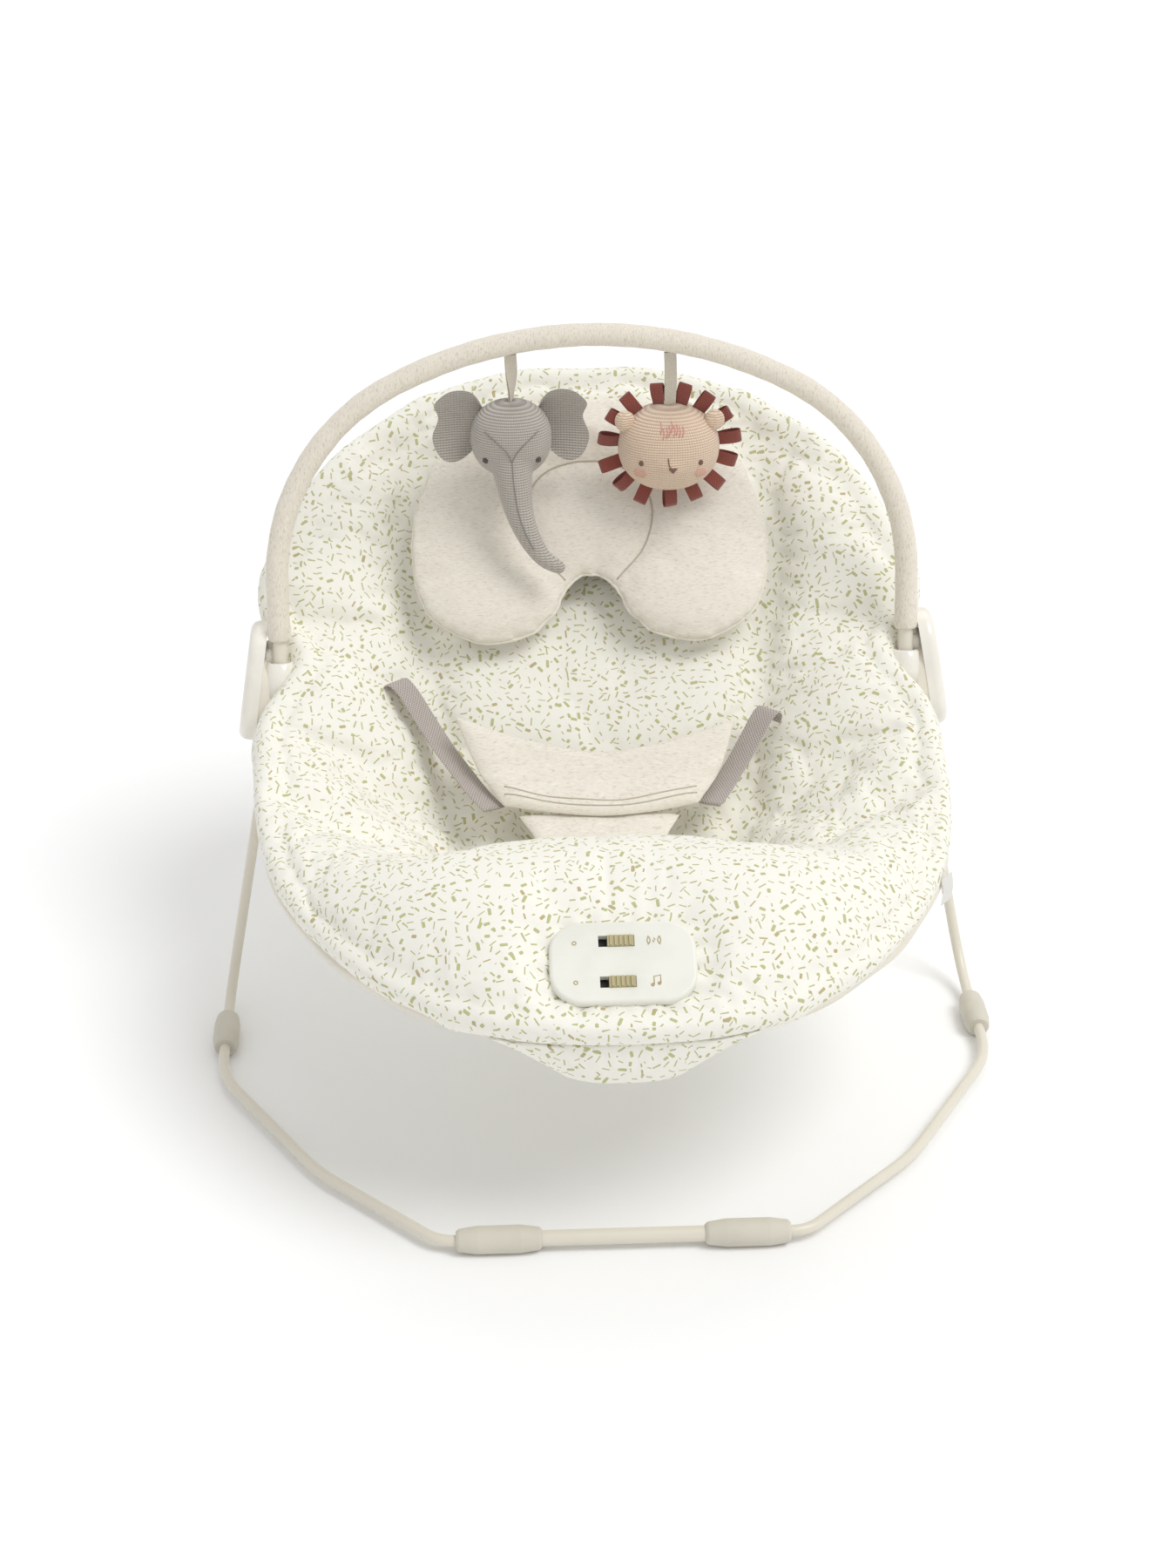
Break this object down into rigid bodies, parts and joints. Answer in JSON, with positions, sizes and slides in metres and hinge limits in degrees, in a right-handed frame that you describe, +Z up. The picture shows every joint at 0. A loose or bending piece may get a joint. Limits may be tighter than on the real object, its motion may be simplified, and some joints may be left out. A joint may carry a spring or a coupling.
{
  "type": "bouncer seat",
  "caption": "Baby bouncer: bent wire base with rubber feet, padded bucket seat on tube loops, head pillow, harness, control unit and a lift-off toy bar with soft toys.",
  "frame": {"origin": "on the floor under the middle of the whole object", "axes": "+Z up, +Y from the foot end towards the head end, +X to the right of someone standing at the foot end"},
  "size_m": [0.5935, 0.6235, 0.5029],
  "materials": {
    "frame_paint": "satin warm cream powder coat",
    "foot_rubber": "matte moulded",
    "hub_shell": "glossy warm white",
    "hub_inner": "matte moulded",
    "screw_steel": "zinc plated",
    "seat_fabric": "printed woven cotton",
    "marl_fabric": "oatmeal marl jersey",
    "webbing": "woven tape",
    "tag_cloth": "woven tag, bare",
    "buckle_plastic": "satin moulded",
    "panel_plastic": "satin moulded",
    "slider_plastic": "ribbed, satin",
    "housing_plastic": "fine texture",
    "cell_case": "bare sleeve",
    "contact_metal": "nickel plated spring strip",
    "board_green": "solder mask",
    "motor_steel": "drawn can",
    "speaker_black": "paper cone and frame",
    "elephant_knit": "grey cotton knit",
    "lion_knit": "peach cotton knit",
    "mane_ribbon": "rust ribbon",
    "toy_ribbon": "twill ribbon"
  },
  "bodies": {
    "base": {"front_bar": "frame_paint", "rear_bar": "frame_paint", "front_foot_left": "foot_rubber", "front_foot_right": "foot_rubber", "rear_foot_left": "foot_rubber", "rear_foot_right": "foot_rubber", "side_sleeve_left": "foot_rubber", "side_sleeve_right": "foot_rubber", "front_loop_left": "frame_paint", "front_loop_right": "frame_paint", "front_leg_left": "frame_paint", "front_leg_right": "frame_paint", "rear_leg_left": "frame_paint", "rear_leg_right": "frame_paint"},
    "seat": {"hub_core_left": "hub_inner", "hub_core_right": "hub_inner", "hub_cap_left": "hub_shell", "hub_cap_right": "hub_shell", "socket_collar_left": "hub_inner", "socket_collar_right": "hub_inner", "hub_screws": "screw_steel", "seat_front_tube": "frame_paint", "seat_back_tube": "frame_paint", "cover_front_cushion": "seat_fabric", "cover_seat_panel": "seat_fabric", "cover_back_panel": "seat_fabric", "cover_wing_left": "seat_fabric", "cover_wing_right": "seat_fabric", "cover_apron": "seat_fabric", "head_pillow": "marl_fabric", "pillow_inner_pad": "marl_fabric", "harness_pad": "marl_fabric", "crotch_strap": "webbing", "waist_strap_left": "webbing", "waist_strap_right": "webbing", "buckle_half_left": "buckle_plastic", "buckle_half_right": "buckle_plastic", "cloth_tag": "tag_cloth", "control_panel": "panel_plastic", "control_housing": "housing_plastic", "battery_door": "housing_plastic", "battery_door_screw": "screw_steel", "batteries": "cell_case", "battery_contacts": "contact_metal", "circuit_board": "board_green", "slide_switches": "speaker_black", "vibration_motor": "motor_steel", "speaker": "speaker_black"},
    "toy_bar": {"toy_bar_tube": "frame_paint", "toy_bar_padding": "marl_fabric"},
    "elephant": {"elephant_strap": "toy_ribbon", "elephant_head": "elephant_knit", "elephant_ears": "elephant_knit"},
    "lion": {"lion_strap": "toy_ribbon", "lion_head": "lion_knit", "lion_ears": "lion_knit", "lion_mane": "mane_ribbon"},
    "vibration_slider": {"vibration_slider": "slider_plastic"},
    "music_slider": {"music_slider": "slider_plastic"},
    "motor_weight": {"motor_weight": "motor_steel"}
  },
  "joints": [
    {"name": "seat_bounce", "type": "slide", "parent": "base", "child": "seat", "axis": [0, 0, 1], "range_m": [-0.03, 0.008], "stiffness_N_per_m": 3500, "springref_m": 0.0077, "deforming": ["front_leg_left", "front_leg_right", "rear_leg_left", "rear_leg_right"]},
    {"name": "toy_bar_lift", "type": "slide", "parent": "seat", "child": "toy_bar", "axis": [0, 0.2756, 0.9613], "range_m": [0, 0.045]},
    {"name": "elephant_swing", "type": "hinge", "parent": "toy_bar", "child": "elephant", "pos_m": [-0.06, 0.16398, 0.48908], "axis": [0.9831, 0.0505, 0.1761], "range_deg": [-25, 6]},
    {"name": "lion_swing", "type": "hinge", "parent": "toy_bar", "child": "lion", "pos_m": [0.06, 0.16398, 0.48908], "axis": [0.9831, -0.0505, -0.1761], "range_deg": [-25, 3]},
    {"name": "vibration_switch", "type": "slide", "parent": "seat", "child": "vibration_slider", "axis": [1, 0, 0], "range_m": [-0.0056, 0]},
    {"name": "music_switch", "type": "slide", "parent": "seat", "child": "music_slider", "axis": [1, 0, 0], "range_m": [-0.0056, 0]},
    {"name": "motor_spin", "type": "hinge", "parent": "seat", "child": "motor_weight", "pos_m": [0.036, -0.27104, 0.18156], "axis": [1, 0, 0], "continuous": true}
  ]
}
